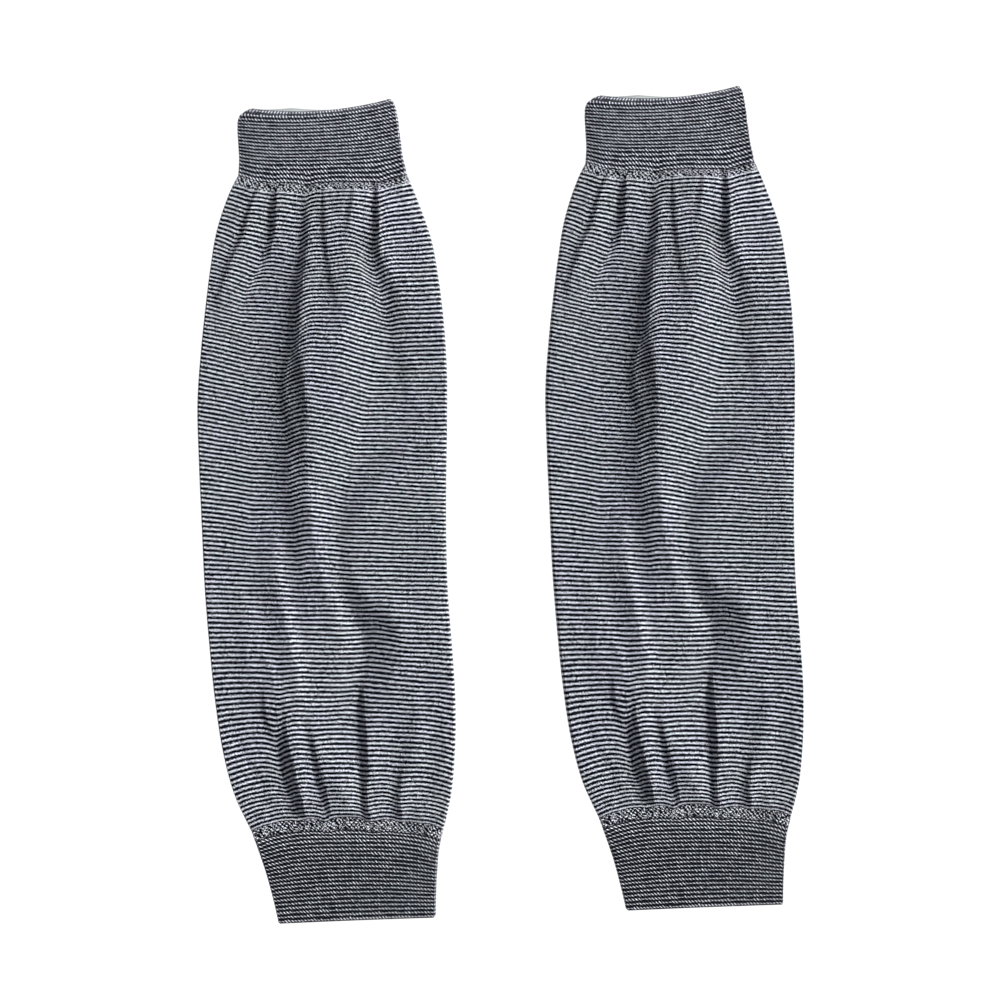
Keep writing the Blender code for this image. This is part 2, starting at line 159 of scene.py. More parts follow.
# A fold runs along the sleeve. Its path gives x, y and the fold's height there,
# negative in a crease. Its flanks are how far it spreads to each side, so that
# a step is a fold with a narrow left flank. A draw is set down in the same way:
# it gives how far the knitted rows are pulled up, or down where negative.
Fold = namedtuple("Fold", "left_flank right_flank path")
FRONT_FOLDS = {
    "main_ridge": Fold(9.7, 20.2, (
        (-3.5, 148, 1.1), (-5, 136, 1.4), (-6.5, 122, 1.7), (-8, 108, 2.1), (-9.5, 94, 2.7),
        (-9.5, 81, 3.4), (-9, 67, 4.4), (-8.5, 51, 5), (-8, 35, 5.4), (-8, 21, 5.4), (-7.5, 10, 4.6),
        (-6.5, -1, 3), (-5, -13, 1.2), (-3, -23, 0),
    )),
    "lower_ridge": Fold(8.7, 5.1, (
        (-8.5, 12, 0), (-7, 1, 1.4), (-5.5, -11, 2.4), (-3.5, -22, 2.7), (-1.5, -31, 2.5), (1, -40, 2),
        (4, -49, 1.5), (6.5, -58, 1), (8.5, -68, 0.4), (10, -77, 0),
    )),
    "dark_foot": Fold(6.4, 4.6, (
        (-13.5, 42, 0), (-16, 28, 0.6), (-15, 12, 0.8), (-12.5, -4, 0.8), (-10.5, -20, 0.8),
        (-8.5, -36, 0.9), (-7.5, -49, 0.8), (-6.5, -63, 0.4), (-6, -74, 0),
    )),
    "top_swell": Fold(14, 13, (
        (14.5, 147, 1.1), (13.5, 138, 1.9), (12.5, 130, 2.4), (11, 120, 2.8), (10.5, 108, 3),
        (10, 97, 3.1), (8.5, 81, 3.1), (7, 65, 2.6), (5, 46, 1.9), (3.5, 28, 1), (2, 15, 0),
    )),
    "left_low_ridge": Fold(5, 3.5, (
        (-38.5, -48, 0), (-36.5, -58, 0.7), (-35, -68, 0.9), (-33.5, -80, 0.6), (-32, -92, 0),
    )),
    "low_second_swell": Fold(6, 5, (
        (3, -111, 0), (4.5, -119, 0.8), (6, -127, 1.3), (7.5, -135, 0.8), (8.5, -143, 0),
    )),
    "low_third_swell": Fold(6, 5, (
        (7, -111, 0), (8.5, -121, 0.9), (10, -130, 1.1), (11.5, -139, 0.5), (12.5, -146, 0),
    )),
    "top_right_swell": Fold(5.5, 11, (
        (27, 117, 0), (28.5, 108, 0.8), (31, 97, 0.5), (34, 85, 0),
    )),
    "right_valley": Fold(7.4, 7.4, (
        (24, 111, 0), (26, 101, -0.8), (27.5, 88, -0.9), (27, 72, -0.7), (24, 53, -0.5), (18, 35, -0.6),
        (10.5, 17, -0.9), (7, 3, -1.1), (6, -8, -1), (7.5, -22, -0.5), (9.5, -33, 0),
    )),
    "right_swell": Fold(8.3, 8.3, (
        (34, 103, 0), (37.5, 90, 0.6), (39.5, 74, 0.6), (41, 58, 0.5), (45, 42, 0),
    )),
    "plateau": Fold(8.3, 27.6, (
        (49, 46, 0), (41, 34, 0.9), (33, 23, 1.6), (24.5, 11, 2.1), (17, 0, 2.1), (12.5, -10, 1.9),
        (11.5, -20, 2.1), (12.5, -29, 2.5), (17.5, -38, 2.5), (24, -46, 1.6), (30.5, -53, 0.8),
        (36, -61, 0),
    )),
    "low_right_ridge": Fold(8.3, 12, (
        (25, -38, 0), (30.5, -46, 1.4), (34.5, -55, 2), (34.5, -64, 2), (32, -74, 1.6), (29, -84, 1.1),
        (27.5, -93, 0.5), (26.5, -102, 0),
    )),
    "low_valley": Fold(7.4, 5.5, (
        (8, -34, 0), (11, -46, -1.4), (16, -58, -2), (16.5, -70, -1.5), (15.5, -81, -1),
        (15, -95, -0.7), (16, -109, 0),
    )),
    "second_ridge": Fold(8.5, 3.2, (
        (-26, -2, 0), (-24, -15, 0.9), (-22.5, -28, 1.6), (-20.5, -39, 2.1), (-18.5, -49, 2.3),
        (-17, -58, 2.4), (-14.5, -68, 2.3), (-13, -78, 1.9), (-12.5, -88, 1.5), (-13, -97, 1.4),
        (-13, -106, 1.2), (-11.5, -115, 0.8), (-8, -125, 0.3), (-5, -134, 0),
    )),
    "third_ridge": Fold(4.6, 3.2, (
        (-42, -33, 0), (-37.5, -44, 0.6), (-33.5, -54, 0.8), (-29.3, -63, 0.9), (-26, -71, 1),
        (-23.2, -79, 1.1), (-21.8, -88, 0.9), (-21.5, -97, 0.5), (-21, -106, 0),
    )),
    "low_far_ridge": Fold(6.4, 4.6, (
        (39.5, -73, 0), (41, -86, 0.8), (42, -95, 1.3), (41.5, -104, 1.3), (40, -114, 1),
        (38.5, -123, 0.5), (36.5, -131, 0),
    )),
    "low_dome": Fold(4.6, 13, (
        (-7.5, -79, 0), (-6.5, -90, 1), (-5, -102, 1.6), (-2, -113, 1.6), (1, -126, 0.8), (3, -136, 0),
    )),
    "main_step": Fold(1.2, 15.6, (
        (-8.5, 147, 0.2), (-8.3, 138, 0.9), (-8.3, 124, 1.4), (-8.9, 116, 1.4), (-10.2, 107, 1.4),
        (-11.2, 97, 1.4), (-12.3, 88, 1.3), (-12.5, 78, 1.1), (-12, 69, 0.9), (-10.5, 60, 0.9),
        (-9, 51, 0.7), (-8, 40, 0.3), (-8, 33, 0),
    )),
    "top_light": Fold(5, 10, (
        (12.5, 122, 0), (13.5, 112, 0.6), (14.5, 101, 0.8), (15.5, 90, 0.4), (16, 82, 0),
    )),
    "main_step_left": Fold(1.2, 5.5, (
        (-15.5, 79, 0), (-16.5, 72, 0.5), (-18, 64, 0.8), (-18.5, 55, 0.9), (-17.5, 46, 0.8),
        (-15.5, 38, 0.4), (-13.5, 30, 0),
    )),
    "centre_step": Fold(0.9, 7.4, (
        (-0.5, 147, 0.6), (-0.2, 140, 1.1), (0.1, 131, 1.2), (0.8, 122, 1.2), (2, 113, 1.1),
        (3.6, 103, 0.9), (5, 95, 0.6), (6.5, 88, 0.3), (8, 81, 0),
    )),
    "right_step": Fold(1.2, 10.1, (
        (23.9, 149, 1.6), (24.5, 140, 2.3), (24.8, 131, 2.1), (24.9, 124, 1.5), (25.2, 116, 0.8),
        (26.8, 108, 0.4), (28.5, 101, 0),
    )),
    "right_step_low": Fold(5, 16, (
        (25.5, 147, 0), (24.6, 137, 0.9), (25, 123, 2), (28.5, 112, 2.3), (32.8, 102, 1.8), (35.8, 92, 0.8),
        (38, 82, 0),
    )),
    "second_step": Fold(1.6, 9, (
        (-22, 148, 1.2), (-22.4, 137, 2.2), (-23, 129, 2), (-24.2, 122, 1.4), (-26.8, 114, 0.7),
        (-30.5, 103, 0),
    )),
    "first_step": Fold(1.4, 6.4, (
        (-30.5, 148, 0.7), (-33.8, 140, 1.3), (-36, 131, 1.5), (-38.5, 123, 1.5), (-41.7, 117, 1.4),
        (-44.5, 109, 1.3), (-47, 100, 1), (-48.5, 90, 0.5), (-49.5, 80, 0),
    )),
    "top_small_step": Fold(1.2, 5, (
        (13.5, 149, 0.8), (12.6, 140, 1.3), (11.2, 130, 0.9), (10, 121, 0),
    )),
    "top_middle_step": Fold(3, 4, (
        (8.5, 149, 0.7), (8, 140, 0.9), (7, 130, 0.5), (6, 121, 0),
    )),
    "top_right_step": Fold(3, 4, (
        (19, 149, 0.6), (19, 140, 0.8), (19, 130, 0.4), (19, 121, 0),
    )),
    "far_step": Fold(1.2, 3.7, (
        (34, 150, 0.5), (36.5, 141, 0.5), (38, 132, 0),
    )),
    "edge_step": Fold(1.2, 3.7, (
        (-37, 146, 0.4), (-41.5, 134, 0.4), (-44, 123, 0),
    )),
    "left_line": Fold(1.2, 4.1, (
        (-39, 55, 0), (-38.5, 44, 0.3), (-39.5, 33, 0.4), (-40, 21, 0.4), (-40.5, 11, 0),
    )),
    "right_line": Fold(1.4, 5.5, (
        (35.5, 77, 0), (36, 67, 0.5), (37, 58, 0.5), (38.5, 49, 0.3), (40.5, 39, 0),
    )),
    "low_first_step": Fold(1.3, 6.4, (
        (-18.5, -63, 0), (-18.5, -79, 0.4), (-18, -94, 1), (-16.8, -106, 1.8), (-14.8, -115, 2.5),
        (-12.8, -125, 2.6), (-10.8, -132, 2.2), (-8.6, -142, 1.4),
    )),
    "low_first_foot": Fold(3.7, 1.8, (
        (-24, -86, 0), (-22.5, -100, -0.6), (-20, -111, -0.8), (-18, -120, -0.8), (-15, -129, -0.5),
        (-12.5, -137, 0),
    )),
    "low_second_step": Fold(0.8, 8, (
        (-6.8, -97, 0), (-5.6, -105, 0.7), (-3.9, -112, 1.1), (-2.1, -119, 1.3), (0.2, -128, 1.3),
        (2, -137, 1.1), (3, -144, 0.7),
    )),
    "low_third_step": Fold(0.8, 11, (
        (17, -77, 0), (17.4, -86, 1.1), (18, -96, 1.8), (19.2, -108, 2.3), (19.4, -118, 2.3),
        (19, -128, 2), (20, -137, 1.6), (22, -145, 1),
    )),
    "low_fourth_step": Fold(1.4, 6.4, (
        (36.5, -108, 0), (35.5, -117, 0.7), (34.5, -125, 1.4), (34, -131, 1.6), (35, -138, 1.2),
        (37, -145, 0.6),
    )),
    "low_fifth_step": Fold(1.1, 3.7, (
        (41, -128, 0), (42, -135, 0.5), (44, -144, 0.5),
    )),
    "low_sixth_step": Fold(1.4, 4.6, (
        (54, -91, 0), (54.5, -102, 0.4), (54.5, -111, 0.5), (52, -120, 0.4), (51, -128, 0),
    )),
    "low_left_step": Fold(1.4, 4.6, (
        (-27.5, -77, 0), (-27.5, -86, 1), (-26, -95, 1.2), (-23.5, -102, 0.7), (-21.5, -109, 0),
    )),
    "low_edge_crease": Fold(3.2, 2.3, (
        (-44.5, -94, 0), (-40.5, -105, -0.4), (-34, -119, -0.6), (-29, -128, -0.6), (-24, -139, -0.4),
    )),
    "low_fan_crease": Fold(1.8, 1.4, (
        (-26, -119, 0), (-22, -127, -0.4), (-18.5, -134, -0.5), (-15, -141, -0.3),
    )),
    "low_small_step": Fold(1.1, 3.7, (
        (6, -121, 0), (8.5, -130, 0.4), (11.5, -137, 0.4), (13, -144, 0.3),
    )),
}
FRONT_DRAWS = {
    "main_crease": Fold(14, 3.6, (
        (-8, 153, -1.8), (-10.6, 138, -2.8), (-12.2, 124, -3.2), (-13.4, 103, -2.6), (-15.2, 76, -3),
        (-19.6, 63, -2.8), (-21, 50, -2.2), (-18.4, 34, -2), (-17, 14, -1.6), (-15, -8, -1.2),
        (-12, -30, -0.8), (-9, -44, 0),
    )),
    "main_ridge": Fold(8, 17, (
        (-10, 112, 0), (-8, 100, 1), (-6, 84, 2), (-7, 66, 2.6), (-8.6, 50, 2.8), (-9, 34, 2.6),
        (-8.8, 18, 2), (-8.4, 0, 1.4), (-8, -18, 0.7), (-8, -38, 0),
    )),
    "centre_swell": Fold(10, 10, (
        (6, 142, 0), (8, 128, 1.4), (11, 112, 1.8), (10, 96, 2.2), (8, 80, 2), (6, 60, 1), (4, 40, 0),
    )),
    "centre_crease": Fold(3, 5, (
        (-1.4, 152, -0.6), (-0.4, 130, -1), (1.8, 111, -0.8), (5.1, 96, -0.3), (6.6, 84, 0),
    )),
    "left_sag": Fold(10, 10, (
        (-33, 132, 0), (-33, 112, -0.7), (-34, 88, -1.2), (-35, 66, -0.9), (-35, 40, -0.9),
        (-34, 10, -1.1), (-34, -8, -1.3), (-32, -30, 0),
    )),
    "left_crease": Fold(7, 2.5, (
        (-24, 153, -0.8), (-24.8, 140, -1.2), (-26, 128, -1.5), (-28.3, 121.5, -1.9),
        (-31.1, 113.7, -2), (-34.8, 106.9, -1.8), (-37.7, 98.9, -1.3), (-38.8, 89.8, -0.7), (-39, 78, 0),
    )),
    "left_dimple": Fold(5, 2.5, (
        (-32.7, 153, -0.5), (-36, 138, -0.8), (-41, 125, -1), (-45, 117, -0.9), (-48, 104, 0),
    )),
    "right_crease": Fold(8, 4.5, (
        (23.6, 153, -1.4), (23.2, 130, -2.6), (21.2, 117, -3.6), (23.8, 106, -3.6), (28, 88, -2.1),
        (32.4, 72, -0.6), (37, 56, 0),
    )),
    "right_ridge": Fold(4, 5, (
        (12.4, 128, 0), (14.5, 116, 0.8), (18.8, 98, 1), (23.4, 84, 0),
    )),
    "right_sag": Fold(7, 9, (
        (26, 84, 0), (22.5, 68, -0.9), (19.5, 52, -1.3), (14.5, 34, -1.4), (11, 16, -0.9), (9, -4, -0.6),
        (12, -30, -0.3), (17, -50, 0),
    )),
    "right_slant": Fold(5, 5, (
        (12, -40, 0), (25, -50, -0.5), (33, -56, -0.5), (39, -68, 0),
    )),
    "low_swell": Fold(9, 12, (
        (24, -34, 0), (22, -60, 1.3), (16, -80, 1.1), (8, -96, 0.8), (4, -112, 0),
    )),
    "low_left_ridge": Fold(4.5, 5, (
        (-24.4, -14, 0), (-17.9, -46, 0.2), (-13.3, -63, 0.3), (-10.6, -76, 0.4), (-14, -96, 0.5),
        (-10.6, -116, 0.6), (-6, -132, 0),
    )),
    "low_left_crease": Fold(5, 3.5, (
        (-33.6, -24, 0), (-27, -50, -0.3), (-21.8, -65, -0.4), (-21.8, -88, -1.3), (-22.6, -104, -2.6),
        (-20.2, -118, -2.8), (-15.6, -134, -1.2), (-10.5, -147, -0.5),
    )),
    "low_centre_crease": Fold(4, 2, (
        (-6, -99, 0), (-5.4, -108, -0.6), (-3.7, -124, -1.3), (-0.5, -139, -2), (1.5, -147, -2),
    )),
    "low_main_crease": Fold(2.5, 7, (
        (16.4, -74, 0), (17, -90, -0.3), (17, -104, -0.6), (17, -124, -1.3), (18.9, -139, -2.2),
        (21.2, -147, -2.6),
    )),
    "low_right_crease": Fold(2.5, 5, (
        (31, -110, 0), (31.7, -122, -0.5), (32.7, -134, -1), (34, -147, -1.4),
    )),
    "low_far_crease": Fold(3, 3, (
        (41.9, -128, 0), (42.3, -138, -0.5), (42.3, -147, -0.5),
    )),
    "low_right_sag": Fold(10, 12, (
        (33, -90, 0), (34, -113, -1), (35, -128, -1.6), (36, -138, -0.8), (37, -147, 0),
    )),
    "low_edge_crease": Fold(3.5, 3.5, (
        (-31.7, -116, 0), (-31, -126, -0.4), (-26, -139, -0.5), (-23, -147, -0.3),
    )),
}
BACK_DRAWS = {
    "mouth_lift": Fold(14, 18, (
        (-16, 192, 2.9), (-16, 184, 2.5), (-16, 172, 0.7), (-16, 160, 0),
    )),
}
BACK_FOLDS = {
    "back_left_gather": Fold(5, 5, (
        (-31, 153, 1.4), (-33, 130, 1.2), (-36, 100, 0),
    )),
    "back_centre_gather": Fold(4, 5, (
        (-15, 153, 1.4), (-18, 128, 1.2), (-20, 94, 0),
    )),
    "back_middle_gather": Fold(5, 4, (
        (9, 153, 1.4), (11, 132, 1.2), (14, 104, 0),
    )),
    "back_right_gather": Fold(5, 5, (
        (29, 153, 1.4), (32, 128, 1.2), (36, 98, 0),
    )),
    "back_low_left_gather": Fold(5, 4, (
        (-28, -88, 0), (-23, -122, 1.2), (-18, -147, 1.4),
    )),
    "back_low_centre_gather": Fold(5, 5, (
        (5, -92, 0), (7, -124, 1.2), (9, -147, 1.4),
    )),
    "back_low_right_gather": Fold(6, 4, (
        (45, -84, 0), (43, -120, 1.2), (39, -147, 1.4),
    )),
}
UPPER_CUFF_FOLDS = {
    "left_turn": Fold(5, 5, (
        (-41, 190, -1.0), (-40.5, 150, -1.0),
    )),
    "right_turn": Fold(5, 5, (
        (34, 190, 0.7), (36.5, 150, 0.7),
    )),
}

# How a tube is folded: its tables of front and back folds, the rows where it is
# joined to another, and whether it is the loose body or a tight cuff.
Folding = namedtuple("Folding", "front back joins loose")

# A tube as its mesh is made from it: the points of its outer and inner faces, the
# knitted row at each of the outer rows, in rows or stripes, each point's share of
# the way round, and how many stitches go all the way round.
Tube = namedtuple("Tube", "outer inner knit turn stitches")

# A cuff: hem_row is where it is open, and its other end is joined to the body.
Cuff = namedtuple("Cuff", "stations knit_rows slope hem_row folds")

# How finely the meshes are divided. Across, it is the front's points and the back's.
BODY_ACROSS = (160, 44)
ROWS_A_STRIPE = 3
POINTS_A_STITCH = 5
BODY_INNER_ROWS = 58
CUFF_INNER_ROWS = 8


def smooth(at, knots, values):
    """A smooth curve through values at the rising knots, read at each of at."""
    knots = np.asarray(knots, float)
    values = np.asarray(values, float)
    slopes = np.gradient(values, knots)
    at = np.clip(at, knots[0], knots[-1])
    span = np.clip(np.searchsorted(knots, at, side="right") - 1, 0, len(knots) - 2)
    width = knots[span + 1] - knots[span]
    t = (at - knots[span]) / width
    ends = (1 + 2 * t) * (1 - t) ** 2 * values[span] + t * t * (3 - 2 * t) * values[span + 1]
    bends = t * (1 - t) ** 2 * slopes[span] - t * t * (1 - t) * slopes[span + 1]
    return ends + bends * width


def fade(distance, over):
    """0 at no distance, rising smoothly to 1 at the distance over."""
    t = np.clip(distance / over, 0.0, 1.0)
    return t * t * (3 - 2 * t)


def folds_at(folds, x, y):
    """All the folds of a table, added up, at x, y."""
    total = np.zeros_like(x)
    for fold in folds.values():
        path = np.array(sorted(fold.path, key=lambda point: point[1]), float)
        middle, crest = (smooth(y, path[:, 1], path[:, column]) for column in (0, 2))
        aside = x - middle
        flank = np.where(aside < 0, fold.left_flank, fold.right_flank)
        flanks_away = (np.hypot(aside, CREASE_ROUND) - CREASE_ROUND) / flank
        total += crest * np.exp(-(flanks_away**FOLD_POWER))
    return total


def uneven(ripple, x, y):
    """A ripple at x, y: waves of random headings, lengths and phases, added up."""
    draw = np.random.default_rng(ripple.seed)
    total = np.zeros_like(x)
    for _ in range(RIPPLE_WAVES):
        heading = draw.uniform(0, math.tau)
        wave = math.tau / (ripple.wavelength * draw.uniform(*RIPPLE_LENGTHS))
        phase = draw.uniform(0, math.tau)
        total += np.sin(wave * (x * math.cos(heading) + y * math.sin(heading)) + phase)
    return ripple.height * (total / RIPPLE_WAVES)


def stations_at(stations, rows):
    """The stations at many rows of a tube, one column array for each field."""
    knots = [station.row for station in stations]
    return Station(*(smooth(rows, knots, column)[:, None] for column in np.array(stations).T))


def panel(at, share, front, folding, join_distance):
    """The points of one panel: rows down, share of the way from edge to edge across."""
    # Across the panel: round the left edge, over the flat and round the right edge.
    width = at.right_x - at.left_x
    roll = EDGE_ROLL if front else EDGE_RADIUS
    corner = EDGE_RADIUS * math.pi / 2
    length = width - 2 * roll + 2 * corner
    along = share[None, :] * length
    from_edge = np.minimum(along, length - along)
    turn = np.minimum(from_edge, corner) / EDGE_RADIUS
    inward = roll * (1 - np.cos(turn)) + np.maximum(from_edge - corner, 0.0)
    aside = np.where(along <= length / 2, inward, width - inward)
    x = at.left_x + aside
    across = aside / width
    off_centre = 2 * across - 1

    # Along the sleeve: each row bows between its ends.
    bend = JOIN_BEND
    if not folding.loose:
        bend = JOIN_BEND - (JOIN_BEND - HEM_BEND) * fade(join_distance, BEND_FADE)
    bow = at.bow if front else at.back_bow
    y = at.left_y + (at.right_y - at.left_y) * across + bow * (1 - np.abs(off_centre) ** bend)

    # Up from the floor, with the folds.
    if front:
        raised = fade(join_distance, LIFT_FADE) if folding.loose else 0.0
        lift = ((EDGE_LIFT + CROWN) * raised - CROWN) * off_centre**2
        z = EDGE_RADIUS + (at.height - EDGE_RADIUS + lift) * np.sin(turn)
    else:
        z = EDGE_RADIUS * (1 - np.sin(turn))
    height = folds_at(folding.front if front else folding.back, x, y)
    if front and folding.loose:
        height = height + uneven(SURFACE_RIPPLE, x, y)
    if folding.loose:
        height = height * fade(inward - roll, EDGE_FADE)
    z = z + height * fade(join_distance, JOIN_FADE) * np.sin(turn)

    # The rows are pulled along the sleeve, on a cuff's front only next to its join.
    if front:
        pull = uneven(ROW_RIPPLE, x, y) + folds_at(FRONT_DRAWS, x, y)
        near = 1 if folding.loose else 1 - fade(join_distance, DRAW_FADE)
        y = y + pull * near * fade(inward, DRAW_FADE)
    else:
        y = y + folds_at(BACK_DRAWS, x, y) * fade(inward, EDGE_FADE)
    return np.stack([x, y, z], axis=2)


def ring_grid(stations, rows, across, folding):
    """A tube's points, rows down, then once round, and each one's share of the way round."""
    at = stations_at(stations, rows)
    join_distance = np.min([np.abs(rows - row) for row in folding.joins], axis=0)[:, None]
    front_share = np.linspace(0, 1, across[0])
    back_share = np.linspace(1, 0, across[1])[1:-1]
    front = panel(at, front_share, True, folding, join_distance)
    back = panel(at, back_share, False, folding, join_distance)
    grid = np.concatenate([front, back], axis=1)
    # At a join, the tube's end row is drawn back by half of the seam's gap.
    if 0.0 in folding.joins:
        grid[0, :, 1] -= SEAM_GAP / 2
    if stations[-1].row in folding.joins:
        grid[-1, :, 1] += SEAM_GAP / 2
    return grid, np.concatenate([front_share / 2, 1 - back_share / 2])


def moved_out(grid, depth):
    """A tube's grid, moved out along its normals: by one depth, or by one at each point."""
    round_it = np.roll(grid, -1, axis=1) - np.roll(grid, 1, axis=1)
    down = np.gradient(grid, axis=0)
    normal = np.cross(down, round_it)
    normal = normal / np.linalg.norm(normal, axis=2, keepdims=True)
    return grid + normal * np.broadcast_to(depth, grid.shape[:2])[:, :, None]


def inner_face(stations, row_count, across, folding, wall):
    """A tube's inner face, coarser than the outer one, and inside it by the wall."""
    rows = np.linspace(0, stations[-1].row, row_count)
    grid, _ = ring_grid(stations, rows, across, folding)
    face = moved_out(grid, -wall)
    # Its two end rows aren't moved along the sleeve.
    face[[0, -1], :, 1] = grid[[0, -1], :, 1]
    return face


def slant(stitch):
    """The sawtooth of a slanting stitch: falls slowly from 1 to -1, then climbs back."""
    across = stitch % 1.0
    fall = 1 - 2 * across / SLANT_SHARE
    climb = 2 * (across - SLANT_SHARE) / (1 - SLANT_SHARE) - 1
    return np.maximum(fall, climb)


def yarn_lift(stitch, row, slope):
    """1 on the raised white yarn of a cuff's rows and 0 on the navy between them."""
    off_yarn = np.abs((row + slope * slant(stitch)) % 1.0 - 0.5)
    return 1 - fade(off_yarn - YARN_TOP, YARN_FALL)


def stripe_lift(stripe):
    """1 on a white stripe of the body and 0 on a navy one."""
    return fade(0.5 - np.cos(math.tau * stripe), 1.0)


def body_tube():
    """The body, with one raised ring for each white stripe."""
    stripes = np.arange(0, BODY_STRIPES * ROWS_A_STRIPE + 1) / ROWS_A_STRIPE
    grow = 1 + STRIPE_SPREAD
    share = stripes / BODY_STRIPES
    share = (grow - np.sqrt(grow**2 - 4 * STRIPE_SPREAD * share)) / (2 * STRIPE_SPREAD)
    length = BODY[-1].row
    folding = Folding(FRONT_FOLDS, BACK_FOLDS, (0.0, length), loose=True)
    grid, turn = ring_grid(BODY, share * length, BODY_ACROSS, folding)
    outer = moved_out(grid, STRIPE_RELIEF * (stripe_lift(stripes)[:, None] - 1))
    inner = inner_face(BODY, BODY_INNER_ROWS, BODY_ACROSS, folding, BODY_WALL)
    return Tube(outer, inner, stripes, turn, BODY_STITCHES)


def cuff_tube(cuff):
    """A cuff, with rows of slanting stitches and a rounded open hem."""
    length = cuff.stations[-1].row
    knit = np.linspace(0, cuff.knit_rows, cuff.knit_rows * POINTS_A_STITCH + 1)
    rows = knit / cuff.knit_rows * length
    half = CUFF_STITCHES * POINTS_A_STITCH // 2 + 1
    folding = Folding(cuff.folds, {}, (length - cuff.hem_row,), loose=False)
    grid, turn = ring_grid(cuff.stations, rows, (half, half), folding)
    stitch = turn[None, :] * CUFF_STITCHES
    relief = STITCH_RELIEF * (yarn_lift(stitch, knit[:, None], cuff.slope) - 1)
    turned = np.clip(1 - np.abs(rows - cuff.hem_row) / HEM_ROUND, 0, 1)
    relief = relief - HEM_DROP * (1 - np.sqrt(1 - turned**2))[:, None]
    outer = moved_out(grid, relief)
    inner = inner_face(cuff.stations, CUFF_INNER_ROWS, (half, half), folding, CUFF_WALL)
    return Tube(outer, inner, knit, turn, CUFF_STITCHES)


# The layout of the whole surface's UV map: how far the outer face and the inner
# one reach across it, and how much of its height each rim takes.
OUTER_SPAN = (0.004, 0.745)
INNER_SPAN = (0.755, 0.996)
RIM_SHARE = 0.006


class Strips:
    """The faces of a tube's mesh and their places on its two UV maps, strip by strip."""

    def __init__(self, tube):
        # Every face of a strip lies between two columns of points. Its turns and
        # wales are those of its four corners.
        ends = np.append(tube.turn, 1.0)
        self.column = np.arange(len(tube.turn))
        self.following = (self.column + 1) % len(tube.turn)
        self.turn = np.stack([ends[:-1], ends[:-1], ends[1:], ends[1:]], 1)
        self.wale = self.turn * tube.stitches
        self.faces = []
        self.places = []

    def add(self, upper, lower, knit, height, span, flip=False):
        """A strip of faces between two rings of points.

        upper and lower are where the rings start in the list of points, knit their
        two knitted rows, height their heights on the whole surface's map, and span
        the strip's reach across that map.
        """
        faces = np.stack([
            upper + self.column,
            lower + self.column,
            lower + self.following,
            upper + self.following,
        ], 1)
        left, right = span
        place = np.stack([
            self.wale,
            np.broadcast_to([knit[0], knit[1], knit[1], knit[0]], faces.shape),
            left + self.turn * (right - left),
            np.broadcast_to([height[0], height[1], height[1], height[0]], faces.shape),
        ], 2)
        self.faces.append(faces[:, ::-1] if flip else faces)
        self.places.append(place[:, ::-1] if flip else place)


def shell(name, tube):
    """A tube's closed mesh. Its inner face has the second material."""
    rows, count = tube.outer.shape[:2]
    inner_rows = len(tube.inner)
    inner_start = rows * count
    outer_heights = np.linspace(1 - RIM_SHARE, RIM_SHARE, rows)
    inner_heights = np.linspace(1 - RIM_SHARE, RIM_SHARE, inner_rows)
    inner_knit = np.interp(np.linspace(0, 1, inner_rows), np.linspace(0, 1, rows), tube.knit)

    strips = Strips(tube)
    for i in range(rows - 1):
        pair = slice(i, i + 2)
        strips.add(i * count, (i + 1) * count, tube.knit[pair], outer_heights[pair], OUTER_SPAN)
    first, last = tube.knit[0], tube.knit[-1]
    strips.add(0, inner_start, (first, first), (1 - RIM_SHARE, 1.0), OUTER_SPAN, flip=True)
    last_inner = inner_start + (inner_rows - 1) * count
    strips.add(inner_start - count, last_inner, (last, last), (RIM_SHARE, 0.0), OUTER_SPAN)
    outside = len(strips.faces) * count
    for i in range(inner_rows - 1):
        pair = slice(i, i + 2)
        start = inner_start + i * count
        strips.add(start, start + count, inner_knit[pair], inner_heights[pair], INNER_SPAN, flip=True)
    points = np.concatenate([tube.outer.reshape(-1, 3), tube.inner.reshape(-1, 3)]) * MM
    faces = np.concatenate(strips.faces)
    places = np.concatenate(strips.places).reshape(-1, 4)

    mesh = bpy.data.meshes.new(name)
    mesh.vertices.add(len(points))
    mesh.vertices.foreach_set("co", points.astype(np.float32).ravel())
    mesh.loops.add(faces.size)
    mesh.loops.foreach_set("vertex_index", faces.astype(np.int32).ravel())
    mesh.polygons.add(len(faces))
    mesh.polygons.foreach_set("loop_start", np.arange(0, faces.size, 4, dtype=np.int32))
    material_index = np.zeros(len(faces), np.int32)
    material_index[outside:] = 1
    mesh.polygons.foreach_set("material_index", material_index)
    mesh.update(calc_edges=True)
    for map_name, fields in (("knit", (0, 1)), ("OFBake", (2, 3))):
        layer = mesh.uv_layers.new(name=map_name)
        layer.uv.foreach_set("vector", places[:, fields].astype(np.float32).ravel())
    mesh.shade_smooth()
    mesh.validate()
    return mesh


# A noise that moves a value by up to an amount to each side, and one that gives
# yarn its flecks: their contrast, on a base brightness.
Noise = namedtuple("Noise", "scale amount detail", defaults=(2.0,))
Fleck = namedtuple("Fleck", "scale contrast base")

# Yarn. Colours are linear, and FUZZ_DEPTH is in metres.
NAVY = (0.0028, 0.0035, 0.0080, 1.0)
INSIDE_NAVY = (0.05, 0.055, 0.08, 1.0)
BODY_WHITES = ((0.84, 0.85, 0.95, 1.0), (0.83, 0.86, 0.91, 1.0))
CUFF_INSIDE = (0.52, 0.55, 0.54)
ROUGHNESS = 0.95
SPECULAR = 0.08
FUZZ_NOISE = (2200.0, 3.0)
FUZZ_STRENGTH = 0.5
FUZZ_DEPTH = 0.0003
LOOP_FUZZ = 0.3

